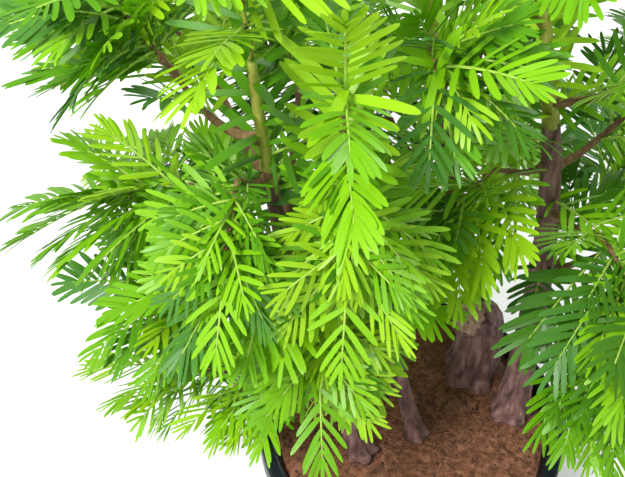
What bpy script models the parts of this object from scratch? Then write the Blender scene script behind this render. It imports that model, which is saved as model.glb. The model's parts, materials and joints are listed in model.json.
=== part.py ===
"""A dawn redwood bonsai: a clump of four stems in a round pot.

Metres, +Z up. The origin is the centre of the pot's flat underside, and the front is -Y.
Each stem carries boughs. Each bough ends at one mass of foliage, and a last mass tops each stem.
A mass is a twig with sprays of needles along it, each spray a toothed blade, in its own space.
"""

import math
import random
from collections import namedtuple

import bmesh
import bpy
from mathutils import Matrix, Vector
from mathutils.bvhtree import BVHTree
from mathutils.geometry import intersect_point_line

OBJECT_NAME = "dawn_redwood_bonsai"
GAP = 0.0003
UP = Vector((0.0, 0.0, 1.0))

# The pot: a turned bowl with a broad flat rim, and drain holes round the middle of its floor.
POT_RADIUS = 0.080
POT_HEIGHT = 0.078
RIM_WIDTH = 0.008
RIM_DEPTH = 0.014
RIM_ROUND = 0.0015
BODY_RADIUS = 0.0765
FOOT_RADIUS = 0.060
POT_WALL = 0.0050
POT_FLOOR = 0.006
POT_SEGMENTS = 36
DRAIN_HOLES = 4
DRAIN_RADIUS = 0.0045
DRAIN_CIRCLE = 0.032

# The soil: flat where the stems stand, and falling a little to the wall.
SOIL_TOP = 0.074
SOIL_EDGE = 0.0715
SOIL_FLAT_RADIUS = 0.068

# Stems. A height is above the soil, and foot, top and bow are plan offsets from the pot's centre.
Stem = namedtuple("Stem", "foot top bow start height foot_radius top_radius flare")
STEMS = {
    "left": Stem((-0.026, -0.016), (-0.072, -0.008), (-0.011, 0.012), 0.0, 0.266, 0.0056, 0.0016, 0.55),
    "front": Stem((0.003, -0.006), (-0.040, -0.022), (-0.005, 0.017), 0.0, 0.236, 0.0044, 0.0014, 0.50),
    "back": Stem((0.036, 0.041), (-0.010, 0.038), (-0.003, 0.008), 0.045, 0.266, 0.0046, 0.0014, 0.0),
    "right": Stem((0.054, 0.008), (0.032, 0.034), (0.012, 0.011), 0.0, 0.258, 0.0080, 0.0017, 0.45),
}
STEM_STATIONS = 10
STEM_CROWDING = 1.6
STEM_TAPER = 0.8
FLARE_HEIGHT = 0.009
FLARE_LOBES = 5
LOBE_DEPTH = 0.14
STEM_SIDES_RESOLUTION = 3

# The back stem was cut off long ago: a thick trunk to a slanting cut, and its leader beside it.
CUT_TRUNK = Stem((0.036, 0.035), (0.036, 0.040), (0.001, 0.0), 0.0, 0.060, 0.0125, 0.0108, 0.30)
CUT_SLANT = Vector((-0.5, -0.45, 0.75))
CUT_STATIONS = 6

# Boughs: where each starts on its stem, which way it goes, and how far. Azimuth 0 is +X, 270 the front.
# Turn is from the bough's azimuth to its foliage's, pitch is the foliage's climb, and size scales it.
Bough = namedtuple("Bough", "stem height azimuth rise reach turn pitch size")
BOUGHS = (
    Bough("left", 0.048, 196, 42, 0.022, -10, 6, 0.68),
    Bough("left", 0.058, 178, 6, 0.030, -11, 0, 0.88),
    Bough("left", 0.075, 121, 21, 0.066, 14, 0, 1.00),
    Bough("left", 0.098, 168, 23, 0.032, 5, 0, 0.86),
    Bough("left", 0.204, 238, 40, 0.020, 20, -36, 0.64),
    Bough("left", 0.138, 143, 28, 0.046, 22, -15, 1.05),
    Bough("left", 0.160, 84, 24, 0.062, 20, 5, 1.18),
    Bough("left", 0.195, 119, 22, 0.060, 28, 18, 1.18),
    Bough("left", 0.224, 175, 48, 0.040, -5, 60, 0.95),
    Bough("front", 0.114, 195, 14, 0.024, 76, -16, 0.72),
    Bough("front", 0.150, 205, 30, 0.026, -10, 0, 0.85),
    Bough("front", 0.220, 275, 35, 0.010, -10, -44, 0.66),
    Bough("back", 0.072, 78, 10, 0.045, -8, -4, 1.15),
    Bough("back", 0.120, 130, 26, 0.052, -4, 0, 1.18),
    Bough("back", 0.138, 222, 20, 0.018, -22, 0, 0.95),
    Bough("back", 0.170, 66, 30, 0.048, 12, 6, 1.18),
    Bough("back", 0.222, 250, 50, 0.032, 20, 30, 0.90),
    Bough("right", 0.060, 315, 30, 0.012, -2, -4, 0.85),
    Bough("right", 0.080, 56, 24, 0.055, -4, -5, 1.18),
    Bough("right", 0.100, 4, 28, 0.030, 0, 2, 1.10),
    Bough("right", 0.140, 300, 28, 0.028, -5, -6, 1.00),
    Bough("right", 0.165, 24, 34, 0.042, 4, 12, 1.15),
    Bough("right", 0.168, 208, 25, 0.026, 10, -12, 0.85),
    Bough("right", 0.205, 338, 40, 0.036, 0, 30, 1.10),
    Bough("right", 0.212, 95, 35, 0.046, 5, 20, 1.00),
)
BOUGH_STATIONS = 5
BOUGH_SIDES_RESOLUTION = 1
BOUGH_RADIUS = 0.0014
BOUGH_GAIN = 0.0144
BOUGH_BARK_SHARE = 0.8
BOUGH_THIN = 0.58
COLLAR = 0.35
COLLAR_FADE = 8.0
BOUGH_SPRING = 0.35

# Foliage: a twig of a few nodes, with sprays in pairs along it and one at its end.
TWIG_LENGTH = 0.043
TWIG_STATIONS = 3
TWIG_RADIUS = 0.0013
TWIG_THIN = 0.7
TWIG_BEND = 7.0
SPRAY_LENGTH = 0.050
SPRAY_SHORTENS = 0.12
END_SPRAY_ROOT = 0.96
PAIR_OFFSET = 0.0004
NODES = 4
FIRST_NODE = 0.14
LAST_NODE = 0.88
BASE_SPREAD = 68.0
END_SPREAD = 44.0
SPREAD_PLAY = 4.0
SHINGLE = 20.0
PLATE_ROLL = 25.0
CRESTS = 2
CREST_SHARE = 0.75
CREST_CLIMB = 48.0
CREST_PLAY = 8.0
CREST_ROLL = 35.0
STEEP = 0.7
SPRAY_SAG = 0.20
OWN_SPACE = 0.0012
LIMB_SPACE = 0.0006
SLEEVE_SIDES = 8
RIM_SPACE = 0.003

# A spray's blade, as shares of its length: bare rachis, teeth that grow and shrink again, and an end
# tooth that reaches as far as the spray's last needle.
BLADE_TIP = 1.16
TEETH = (0.30, 0.40, 0.36, 0.24)
TEETH_FROM = 0.15
TEETH_PITCH = 0.19
TOOTH_LEAN = 0.16
NOTCH = 0.30
ROOT_WIDTH = 0.006
RACHIS_WIDTH = 0.018
ROOT_LIFT = 0.006
RIDGE_LIFT = 0.010
BLADE_ARCH = 0.08

BARK = (0.20, 0.105, 0.075, 1.0)
TWIG_BARK = (0.23, 0.14, 0.09, 1.0)
LEAF = (0.14, 0.36, 0.035, 1.0)
YOUNG_LEAF = (0.30, 0.56, 0.04, 1.0)
SOIL_COLOUR = (0.12, 0.055, 0.03, 1.0)
POT_COLOUR = (0.006, 0.012, 0.020, 1.0)


def clear_scene():
    for obj in list(bpy.data.objects):
        bpy.data.objects.remove(obj, do_unlink=True)


def new_collection(name):
    collection = bpy.data.collections.new(name)
    bpy.context.scene.collection.children.link(collection)
    return collection


def new_material(name, colour, roughness, metallic=0.0):
    material = bpy.data.materials.new(name)
    material.use_nodes = True
    shader = material.node_tree.nodes["Principled BSDF"]
    shader.inputs["Base Color"].default_value = colour
    shader.inputs["Roughness"].default_value = roughness
    shader.inputs["Metallic"].default_value = metallic
    return material


def new_object(name, mesh, collection, material=None):
    obj = bpy.data.objects.new(name, mesh)
    collection.objects.link(obj)
    if material:
        obj.data.materials.append(material)
    return obj


def mesh_of(name, points, faces):
    mesh = bpy.data.meshes.new(name)
    mesh.from_pydata([tuple(point) for point in points], [], faces)
    mesh.update()
    return mesh


def turned(name, profile, segments, collection, material):
    """A solid of revolution: the profile (radius, height) runs down its outer side."""
    count = len(profile)
    mesh = bpy.data.meshes.new(name)
    mesh.from_pydata([(r, 0.0, z) for r, z in profile], [(i, i + 1) for i in range(count - 1)], [])
    obj = new_object(name, mesh, collection, material)
    screw = obj.modifiers.new("Turn", "SCREW")
    screw.steps = segments
    screw.render_steps = segments
    screw.use_merge_vertices = True
    screw.merge_threshold = 0.00001
    screw.use_smooth_shade = True
    return obj


def wall_radius(z):
    """The radius of the pot's inner wall at a height."""
    share = (z - POT_FLOOR) / (POT_HEIGHT - POT_FLOOR)
    foot = FOOT_RADIUS - POT_WALL
    return foot + share * (POT_RADIUS - RIM_WIDTH - foot)


def add_pot(collection, cutters, material):
    rim_foot = POT_HEIGHT - RIM_DEPTH
    profile = [
        (0.0, POT_FLOOR),
        (wall_radius(POT_FLOOR), POT_FLOOR),
        (wall_radius(POT_HEIGHT - RIM_ROUND), POT_HEIGHT - RIM_ROUND),
        (POT_RADIUS - RIM_WIDTH + RIM_ROUND, POT_HEIGHT),
        (POT_RADIUS - RIM_ROUND, POT_HEIGHT),
        (POT_RADIUS, POT_HEIGHT - RIM_ROUND),
        (POT_RADIUS, rim_foot),
        (BODY_RADIUS, rim_foot - RIM_ROUND),
        (FOOT_RADIUS, RIM_ROUND),
        (FOOT_RADIUS - RIM_ROUND, 0.0),
        (0.0, 0.0),
    ]
    pot = turned("pot", profile, POT_SEGMENTS, collection, material)
    for k in range(DRAIN_HOLES):
        angle = 2 * math.pi * k / DRAIN_HOLES
        place = (DRAIN_CIRCLE * math.cos(angle), DRAIN_CIRCLE * math.sin(angle), POT_FLOOR / 2)
        drill = bmesh.new()
        bmesh.ops.create_cone(
            drill, cap_ends=True, segments=10, radius1=DRAIN_RADIUS, radius2=DRAIN_RADIUS,
            depth=3 * POT_FLOOR, matrix=Matrix.Translation(place),
        )
        mesh = bpy.data.meshes.new(f"drain_cutter_{k}")
        drill.to_mesh(mesh)
        drill.free()
        cutter = new_object(mesh.name, mesh, cutters)
        cutter.hide_render = True
        cutter.display_type = "WIRE"
        cut = pot.modifiers.new(f"Drain {k}", "BOOLEAN")
        cut.operation = "DIFFERENCE"
        cut.object = cutter
    return pot


def add_soil(collection, material):
    base = POT_FLOOR + GAP
    profile = [
        (0.0, SOIL_TOP),
        (SOIL_FLAT_RADIUS, SOIL_TOP),
        (wall_radius(SOIL_EDGE) - GAP, SOIL_EDGE),
        (wall_radius(base) - GAP, base),
        (0.0, base),
    ]
    return turned("soil", profile, POT_SEGMENTS, collection, material)


def stem_point(stem, height):
    """The middle of a stem at a height above the soil."""
    t = (height - stem.start) / (stem.height - stem.start)
    swing = math.sin(math.pi * t)
    x = stem.foot[0] + (stem.top[0] - stem.foot[0]) * t + stem.bow[0] * swing
    y = stem.foot[1] + (stem.top[1] - stem.foot[1]) * t + stem.bow[1] * swing
    return Vector((x, y, SOIL_TOP + GAP + height))


def stem_radius(stem, height):
    t = (height - stem.start) / (stem.height - stem.start)
    radius = stem.top_radius + (stem.foot_radius - stem.top_radius) * (1 - t) ** STEM_TAPER
    return radius * (1 + stem.flare * math.exp(-(height - stem.start) / FLARE_HEIGHT))


def stem_route(stem, stations):
    """Points and radii up a stem. They are closer at the foot, where the first stretch is upright."""
    points = []
    radii = []
    for k in range(stations):
        height = stem.start + (stem.height - stem.start) * (k / (stations - 1)) ** STEM_CROWDING
        points.append(stem_point(stem, height))
        radii.append(stem_radius(stem, height))
    points[1].xy = points[0].xy
    return points, radii


def on_stem(stem, height):
    """The middle, radius and heading of the straight stretch of a stem at a height above the soil."""
    points, radii = stem_route(stem, STEM_STATIONS)
    z = SOIL_TOP + GAP + height
    k = max(k for k in range(STEM_STATIONS - 1) if points[k].z <= z)
    share = (z - points[k].z) / (points[k + 1].z - points[k].z)
    middle = points[k].lerp(points[k + 1], share)
    radius = radii[k] + (radii[k + 1] - radii[k]) * share
    return middle, radius, (points[k + 1] - points[k]).normalized()


def tube(name, points, radii, resolution, collection, material=None):
    """A tapering limb: a curve through the points, each with its radius."""
    curve = bpy.data.curves.new(name, "CURVE")
    curve.dimensions = "3D"
    curve.bevel_depth = 1.0
    curve.bevel_resolution = resolution
    curve.use_fill_caps = True
    spline = curve.splines.new("POLY")
    spline.points.add(len(points) - 1)
    for spot, point, radius in zip(spline.points, points, radii):
        spot.co = (*point, 1.0)
        spot.radius = radius
    obj = bpy.data.objects.new(name, curve)
    collection.objects.link(obj)
    if material:
        curve.materials.append(material)
    return obj


def as_mesh_object(obj):
    """The same limb as a mesh object, in place of the curve, with its caps welded on."""
    name = obj.name
    collection = obj.users_collection[0]
    bpy.context.view_layer.update()
    graph = bpy.context.evaluated_depsgraph_get()
    mesh = bpy.data.meshes.new_from_object(obj.evaluated_get(graph))
    work = bmesh.new()
    work.from_mesh(mesh)
    bmesh.ops.remove_doubles(work, verts=work.verts, dist=1e-6)
    bmesh.ops.recalc_face_normals(work, faces=work.faces)
    work.to_mesh(mesh)
    work.free()
    curve = obj.data
    place = obj.matrix_world.copy()
    bpy.data.objects.remove(obj, do_unlink=True)
    bpy.data.curves.remove(curve)
    made = bpy.data.objects.new(name, mesh)
    made.matrix_world = place
    collection.objects.link(made)
    return made


def add_root_lobes(mesh, stem):
    """Swells the foot of a stem into low buttresses that fade out just above the soil."""
    middle = stem_point(stem, stem.start)
    for vertex in mesh.vertices:
        height = vertex.co.z - middle.z
        fade = math.exp(-max(height, 0.0) / FLARE_HEIGHT)
        out = Vector((vertex.co.x - middle.x, vertex.co.y - middle.y, 0.0))
        angle = math.atan2(out.y, out.x)
        vertex.co += out * (LOBE_DEPTH * fade * math.cos(FLARE_LOBES * angle))
    mesh.update()


def add_stem(name, stem, collection, material):
    points, radii = stem_route(stem, STEM_STATIONS)
    obj = as_mesh_object(tube(name, points, radii, STEM_SIDES_RESOLUTION, collection, material))
    if stem.flare:
        add_root_lobes(obj.data, stem)
    return obj


def add_cut_trunk(name, collection, helpers, material):
    """The old trunk to its slanting cut, joined with the leader that grew on beside it."""
    points, radii = stem_route(CUT_TRUNK, CUT_STATIONS)
    lean = CUT_SLANT.normalized()
    points[-1] = points[-2] + lean * (points[-1] - points[-2]).length
    trunk = as_mesh_object(tube(name, points, radii, STEM_SIDES_RESOLUTION, collection, material))
    add_root_lobes(trunk.data, CUT_TRUNK)
    add_stem("back_leader", STEMS["back"], helpers, material)
    join(trunk, helpers, material)


def join(obj, collection, material, solver="EXACT"):
    """Unites the object with everything in the collection, and removes what it took in."""
    union = obj.modifiers.new("Union", "BOOLEAN")
    union.operation = "UNION"
    union.operand_type = "COLLECTION"
    union.collection = collection
    union.solver = solver
    bpy.context.view_layer.update()
    graph = bpy.context.evaluated_depsgraph_get()
    mesh = bpy.data.meshes.new_from_object(obj.evaluated_get(graph))
    drop_scraps(mesh)
    mesh.materials.clear()
    mesh.materials.append(material)
    obj.modifiers.clear()
    old = obj.data
    obj.data = mesh
    bpy.data.meshes.remove(old)
    for helper in list(collection.objects):
        bpy.data.objects.remove(helper, do_unlink=True)


def linked_points(start):
    """Every point that edges join to this one."""
    found = {start}
    waiting = [start]
    while waiting:
        for edge in waiting.pop().link_edges:
            for point in edge.verts:
                if point not in found:
                    found.add(point)
                    waiting.append(point)
    return found


def drop_scraps(mesh):
    """Keeps only the largest piece of a mesh."""
    work = bmesh.new()
    work.from_mesh(mesh)
    left = set(work.verts)
    pieces = []
    while left:
        piece = linked_points(next(iter(left)))
        left -= piece
        pieces.append(piece)
    pieces.sort(key=len)
    for piece in pieces[:-1]:
        bmesh.ops.delete(work, geom=list(piece), context="VERTS")
    work.to_mesh(mesh)
    work.free()


def flat_direction(azimuth):
    angle = math.radians(azimuth)
    return Vector((math.cos(angle), math.sin(angle), 0.0))


def direction(azimuth, climb):
    angle = math.radians(climb)
    return flat_direction(azimuth) * math.cos(angle) + UP * math.sin(angle)


def bough_route(bough):
    """Points and radii of a bough: square out of its stem's bark, then curving up to its rise."""
    middle, bark, along = on_stem(STEMS[bough.stem], bough.height)
    out = flat_direction(bough.azimuth)
    out = (out - along * out.dot(along)).normalized()
    start = middle + out * (bark + GAP)
    thick = min(BOUGH_RADIUS + BOUGH_GAIN * bough.reach, BOUGH_BARK_SHARE * bark)
    end = start + direction(bough.azimuth, bough.rise) * bough.reach
    knee = start + out * (BOUGH_SPRING * bough.reach)
    points = []
    radii = []
    for k in range(BOUGH_STATIONS):
        t = k / (BOUGH_STATIONS - 1)
        points.append(start * (1 - t) ** 2 + knee * (2 * t * (1 - t)) + end * t ** 2)
        radii.append(thick * (1 - (1 - BOUGH_THIN) * t) * (1 + COLLAR * math.exp(-COLLAR_FADE * t)))
    points[1] = start + out * (points[1] - start).length
    return points, radii


class Mass:
    """One mass of foliage: its twig, and the frame that its sprays spread in."""

    def __init__(self, name, root, heading, size, seed):
        self.name = name
        self.root = root
        self.heading = heading.normalized()
        self.size = size
        self.random = random.Random(seed)
        self.length = TWIG_LENGTH * size
        self.steep = abs(self.heading.z) > STEEP
        level = UP if not self.steep else Vector((0.0, -1.0, 0.0))
        self.normal = (level - self.heading * level.dot(self.heading)).normalized()
        bend = math.radians(self.random.uniform(-TWIG_BEND, TWIG_BEND))
        self.bow = self.normal.cross(self.heading) * math.tan(bend)
        roll = math.radians(self.random.uniform(-PLATE_ROLL, PLATE_ROLL))
        self.normal = Matrix.Rotation(roll, 3, self.heading) @ self.normal

    def twig_point(self, t):
        return self.root + self.heading * (self.length * t) + self.bow * (self.length * t * t)

    def tip(self):
        return self.twig_point(1.0)

    def distance(self, point):
        """How far a point lies from the twig's straight line, root to tip."""
        near, share = intersect_point_line(point, self.root, self.tip())
        if share < 0:
            near = self.root
        elif share > 1:
            near = self.tip()
        return (point - near).length


class Spray:
    """One spray of needles: a drooping rachis from a point of the twig, and the plane of its needles."""

    def __init__(self, root, heading, normal, length):
        self.root = root
        self.heading = heading.normalized()
        self.normal = (normal - self.heading * normal.dot(self.heading)).normalized()
        self.side = self.normal.cross(self.heading)
        self.length = length

    def point(self, along, across=0.0, lift=0.0):
        """A point of the spray, from shares of its length along, across and above the rachis."""
        sag = SPRAY_SAG * along * along + BLADE_ARCH * across * across / max(TEETH)
        flat = self.heading * along + self.side * across + self.normal * lift
        return self.root + (flat - UP * sag) * self.length


def main_sprays(mass):
    """The sprays of a mass: one at its end, a pair at each node, and crests above and below."""
    rng = mass.random
    length = SPRAY_LENGTH * mass.size
    sprays = [Spray(mass.twig_point(END_SPRAY_ROOT), mass.heading + mass.bow, mass.normal, length)]
    for k in range(NODES):
        share = k / (NODES - 1)
        root = mass.twig_point(FIRST_NODE + (LAST_NODE - FIRST_NODE) * share)
        turn = math.radians(90.0 * k if mass.steep else 0.0)
        normal = Matrix.Rotation(turn, 3, mass.heading) @ mass.normal
        for side in (-1, 1):
            spread = BASE_SPREAD + (END_SPREAD - BASE_SPREAD) * share
            spread += rng.uniform(-SPREAD_PLAY, SPREAD_PLAY)
            heading = Matrix.Rotation(math.radians(spread * side), 3, normal) @ mass.heading
            flat = mass.heading if mass.steep else normal
            plane = Matrix.Rotation(math.radians(SHINGLE * side), 3, heading) @ flat
            reach = length * (1.0 - SPRAY_SHORTENS * share) * rng.uniform(0.92, 1.04)
            sprays.append(Spray(root + mass.heading * (PAIR_OFFSET * side), heading, plane, reach))
    for k in range(CRESTS):
        side = mass.normal * (-1) ** k
        root = mass.twig_point(FIRST_NODE + (LAST_NODE - FIRST_NODE) * (k + 0.5) / CRESTS)
        climb = math.radians(CREST_CLIMB + rng.uniform(-CREST_PLAY, CREST_PLAY))
        heading = mass.heading * math.cos(climb) + side * math.sin(climb)
        across = Matrix.Rotation(math.radians(rng.uniform(-CREST_ROLL, CREST_ROLL)), 3, heading) @ mass.heading
        sprays.append(Spray(root, heading, across, length * CREST_SHARE * rng.uniform(0.9, 1.05)))
    return sprays


def blade_stations():
    """Where a blade's ridge bends and its notches lie, as (along, half width, lift) shares."""
    stations = [(0.0, ROOT_WIDTH, ROOT_LIFT), (TEETH_FROM, RACHIS_WIDTH, RIDGE_LIFT)]
    for k in range(1, len(TEETH)):
        notch = NOTCH * (TEETH[k - 1] + TEETH[k]) / 2
        stations.append((TEETH_FROM + TEETH_PITCH * k, notch, RIDGE_LIFT))
    return stations


def blade_shape(spray):
    """Points and faces of a spray's blade: a toothed outline with a low ridge above and below."""
    stations = blade_stations()
    count = len(stations)
    points = [spray.point(BLADE_TIP)]
    for level in (1, -1):
        points += [spray.point(along, 0.0, level * lift) for along, _, lift in stations]
    for side in (1, -1):
        points += [spray.point(along, side * width) for along, width, _ in stations]
        for k, width in enumerate(TEETH):
            points.append(spray.point(TEETH_FROM + TEETH_PITCH * k + TOOTH_LEAN, side * width))
    faces = [(1, 1 + 2 * count, 1 + count, 1 + 3 * count + len(TEETH))]
    for level in (0, 1):
        for side in (0, 1):
            ridge = list(range(1 + count * level, 1 + count * (level + 1))) + [0]
            first = 1 + 2 * count + (count + len(TEETH)) * side
            edge = list(range(first, first + count))
            tips = list(range(first + count, first + count + len(TEETH)))
            half = [(ridge[0], ridge[1], edge[1]), (ridge[0], edge[1], edge[0])]
            for k, tip in enumerate(tips):
                half += [(ridge[k + 1], tip, edge[k + 1]), (ridge[k + 1], ridge[k + 2], tip)]
                if k + 2 < count:
                    half.append((ridge[k + 2], edge[k + 2], tip))
            faces += half if level == side else [face[::-1] for face in half]
    return points, faces


def sleeve(points, radii):
    """Points and faces of an open sleeve round a limb, a little clear of it."""
    sides = SLEEVE_SIDES
    rings = []
    faces = []
    for k, point in enumerate(points):
        before = points[max(k - 1, 0)]
        after = points[min(k + 1, len(points) - 1)]
        along = (after - before).normalized()
        across = along.orthogonal().normalized()
        other = along.cross(across)
        radius = (radii[k] + LIMB_SPACE) / math.cos(math.pi / sides)
        for j in range(sides):
            angle = 2 * math.pi * j / sides
            rings.append(point + (across * math.cos(angle) + other * math.sin(angle)) * radius)
    for k in range(len(points) - 1):
        for j in range(sides):
            low = k * sides + j
            high = k * sides + (j + 1) % sides
            faces.append((low, high, high + sides, low + sides))
    return rings, faces


def limb_tree():
    """A search tree of sleeves round every stem and bough."""
    points = []
    faces = []
    routes = [stem_route(stem, STEM_STATIONS) for stem in STEMS.values()]
    routes.append(stem_route(CUT_TRUNK, CUT_STATIONS))
    routes += [bough_route(bough) for bough in BOUGHS]
    for route, radii in routes:
        rings, quads = sleeve(route, radii)
        first = len(points)
        points += rings
        faces += [tuple(first + index for index in quad) for quad in quads]
    return BVHTree.FromPolygons(points, faces)


def in_own_space(points, mass, masses):
    """Whether every point is nearer to this mass's twig than to any other's, and clear of the pot."""
    for point in points:
        if point.z < POT_HEIGHT + RIM_SPACE:
            return False
        own = mass.distance(point) + OWN_SPACE
        if any(other is not mass and other.distance(point) < own for other in masses):
            return False
    return True


def plan_masses():
    """A mass at each bough's tip and one at each stem's top."""
    masses = []
    for k, bough in enumerate(BOUGHS):
        points, _ = bough_route(bough)
        heading = direction(bough.azimuth + bough.turn, bough.pitch)
        leaving = (points[-1] - points[-2]).normalized()
        tilt = leaving.cross(heading).length
        root = points[-1] + leaving * (GAP + TWIG_RADIUS * tilt)
        masses.append(Mass(f"foliage_{bough.stem}_{k + 1:02d}", root, heading, bough.size, k + 1))
    for k, (name, stem) in enumerate(STEMS.items()):
        tip, _, heading = on_stem(stem, stem.height)
        root = tip + heading * GAP
        masses.append(Mass(f"foliage_{name}_top", root, heading, 1.0, 101 + k))
    return masses


def add_mass(mass, masses, limbs, collection, helpers, material):
    """The twig and every spray that keeps to the mass's space, as one solid."""
    shares = [k / (TWIG_STATIONS - 1) for k in range(TWIG_STATIONS)]
    route = [mass.twig_point(share) for share in shares]
    radii = [TWIG_RADIUS * (1 - (1 - TWIG_THIN) * share) for share in shares]
    twig = new_object(mass.name, twig_mesh(mass, route, radii), collection)
    kept = []
    for k, spray in enumerate(main_sprays(mass)):
        points, faces = blade_shape(spray)
        blade = BVHTree.FromPolygons(points, faces)
        sheet = BVHTree.FromPolygons(*leafy_sheet(spray))
        if blade.overlap(limbs) or not in_own_space(points, mass, masses):
            continue
        if any(sheet.overlap(other) for other in kept):
            continue
        new_object(f"spray_{k}", mesh_of(f"spray_{k}", points, faces), helpers)
        kept.append(sheet)
    join(twig, helpers, material, "MANIFOLD")


def leafy_sheet(spray):
    """A strip as wide as the blade's teeth, past its bare rachis."""
    places = [(TEETH_FROM, NOTCH * TEETH[0])]
    places += [(TEETH_FROM + TEETH_PITCH * k + TOOTH_LEAN, width) for k, width in enumerate(TEETH)]
    points = []
    for along, width in places:
        points += [spray.point(along, across) for across in (-width, 0.0, width)]
    faces = []
    for k in range(len(places) - 1):
        for j in (0, 1):
            low = 3 * k + j
            faces.append((low, low + 1, low + 4, low + 3))
    return points, faces


def twig_mesh(mass, route, radii):
    """A three-sided twig with flat ends."""
    points = []
    faces = []
    across = mass.normal
    other = mass.heading.cross(across)
    for point, radius in zip(route, radii):
        for k in range(3):
            angle = 2 * math.pi * k / 3
            points.append(point + (across * math.cos(angle) + other * math.sin(angle)) * radius)
    for k in range(len(route) - 1):
        for j in range(3):
            low = 3 * k + j
            high = 3 * k + (j + 1) % 3
            faces.append((low, high, high + 3, low + 3))
    faces.append((2, 1, 0))
    last = 3 * (len(route) - 1)
    faces.append((last, last + 1, last + 2))
    return mesh_of(mass.name, points, faces)


def build():
    clear_scene()
    parts = new_collection(OBJECT_NAME)
    cutters = new_collection("cutters")
    helpers = new_collection("helpers")
    bark = new_material("bark", BARK, 0.85)
    twig_bark = new_material("twig_bark", TWIG_BARK, 0.8)
    leaf = new_material("needles", LEAF, 0.5)
    young = new_material("young_needles", YOUNG_LEAF, 0.5)
    add_pot(parts, cutters, new_material("pot", POT_COLOUR, 0.45))
    add_soil(parts, new_material("soil", SOIL_COLOUR, 0.95))
    for name in ("left", "front", "right"):
        add_stem(f"stem_{name}", STEMS[name], parts, bark)
    add_cut_trunk("stem_back", parts, helpers, bark)
    for k, bough in enumerate(BOUGHS):
        points, radii = bough_route(bough)
        tube(f"bough_{bough.stem}_{k + 1:02d}", points, radii, BOUGH_SIDES_RESOLUTION, parts, twig_bark)
    limbs = limb_tree()
    masses = plan_masses()
    for mass in masses:
        needles = young if mass.name.endswith("top") else leaf
        add_mass(mass, masses, limbs, parts, helpers, needles)


build()
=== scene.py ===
"""The looks of a dawn redwood bonsai in a round pot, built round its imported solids.

Metres, +Z up, front -Y. Stems, boughs and masses of foliage follow the same rule as the solids:
each mass is a twig in its own space. Here it carries finer sprays, and each spray carries needles.
"""

import json
import math
import random
from collections import namedtuple

import bpy
import numpy as np
from mathutils import Matrix, Vector, noise
from mathutils.bvhtree import BVHTree
from mathutils.geometry import intersect_point_line

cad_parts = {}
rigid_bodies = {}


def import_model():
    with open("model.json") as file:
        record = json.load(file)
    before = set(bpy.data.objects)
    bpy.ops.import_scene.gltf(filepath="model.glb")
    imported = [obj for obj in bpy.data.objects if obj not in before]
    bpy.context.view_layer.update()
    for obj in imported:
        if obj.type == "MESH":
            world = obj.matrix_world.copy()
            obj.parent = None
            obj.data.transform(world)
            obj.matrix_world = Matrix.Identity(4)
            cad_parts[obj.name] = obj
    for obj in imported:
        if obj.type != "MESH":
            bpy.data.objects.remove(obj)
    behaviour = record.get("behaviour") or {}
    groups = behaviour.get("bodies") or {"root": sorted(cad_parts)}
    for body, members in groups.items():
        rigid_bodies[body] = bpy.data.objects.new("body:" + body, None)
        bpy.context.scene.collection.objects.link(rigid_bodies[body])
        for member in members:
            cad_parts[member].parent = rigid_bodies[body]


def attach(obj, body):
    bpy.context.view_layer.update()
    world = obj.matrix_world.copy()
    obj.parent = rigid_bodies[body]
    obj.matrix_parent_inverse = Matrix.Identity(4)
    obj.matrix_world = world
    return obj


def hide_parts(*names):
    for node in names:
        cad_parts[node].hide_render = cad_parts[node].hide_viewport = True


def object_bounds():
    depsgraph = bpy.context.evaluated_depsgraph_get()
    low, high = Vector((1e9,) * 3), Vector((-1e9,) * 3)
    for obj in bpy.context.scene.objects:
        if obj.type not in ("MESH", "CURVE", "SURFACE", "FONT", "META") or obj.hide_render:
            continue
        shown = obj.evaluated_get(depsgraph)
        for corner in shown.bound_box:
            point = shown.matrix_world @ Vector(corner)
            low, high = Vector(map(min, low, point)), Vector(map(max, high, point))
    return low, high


BODY = "root"
GAP = 0.0003
UP = Vector((0.0, 0.0, 1.0))

# The camera looks down at the front, as fitted to the pot's rim in the photo.
CAMERA_PLACE = Vector((-0.0517, -0.2770, 0.5885))
CAMERA_TARGET = Vector((-0.0517, 0.0, 0.2339))
CAMERA_LENS = 62.5

# A light is (place, target, size, watts).
KEY_LIGHT = ((-0.5, -0.5, 1.1), (0.0, 0.0, 0.2), 0.28, 14.0)
BACK_LIGHT = ((0.5, 0.7, 0.9), (0.0, 0.0, 0.25), 0.5, 8.0)
SKY = 0.70
FLOOR_HALF = 3.0

# The pot and the soil, as in the solids, with rounder edges.
POT_RADIUS = 0.080
POT_HEIGHT = 0.078
RIM_WIDTH = 0.008
RIM_DEPTH = 0.014
RIM_ROUND = 0.0022
BODY_RADIUS = 0.0765
FOOT_RADIUS = 0.060
POT_WALL = 0.0050
POT_FLOOR = 0.006
POT_SEGMENTS = 144
POT_EDGE = math.radians(40.0)
DRAIN_HOLES = 4
DRAIN_RADIUS = 0.0045
DRAIN_CIRCLE = 0.032
DRAIN_SEGMENTS = 24
SOIL_TOP = 0.074
SOIL_EDGE = 0.0715
SOIL_FLAT_RADIUS = 0.0544
SOIL_RINGS = 84
SOIL_SEGMENTS = 240
SOIL_RELIEF = 0.0012
CRUMBS = 2600
FIBRES = 520

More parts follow.
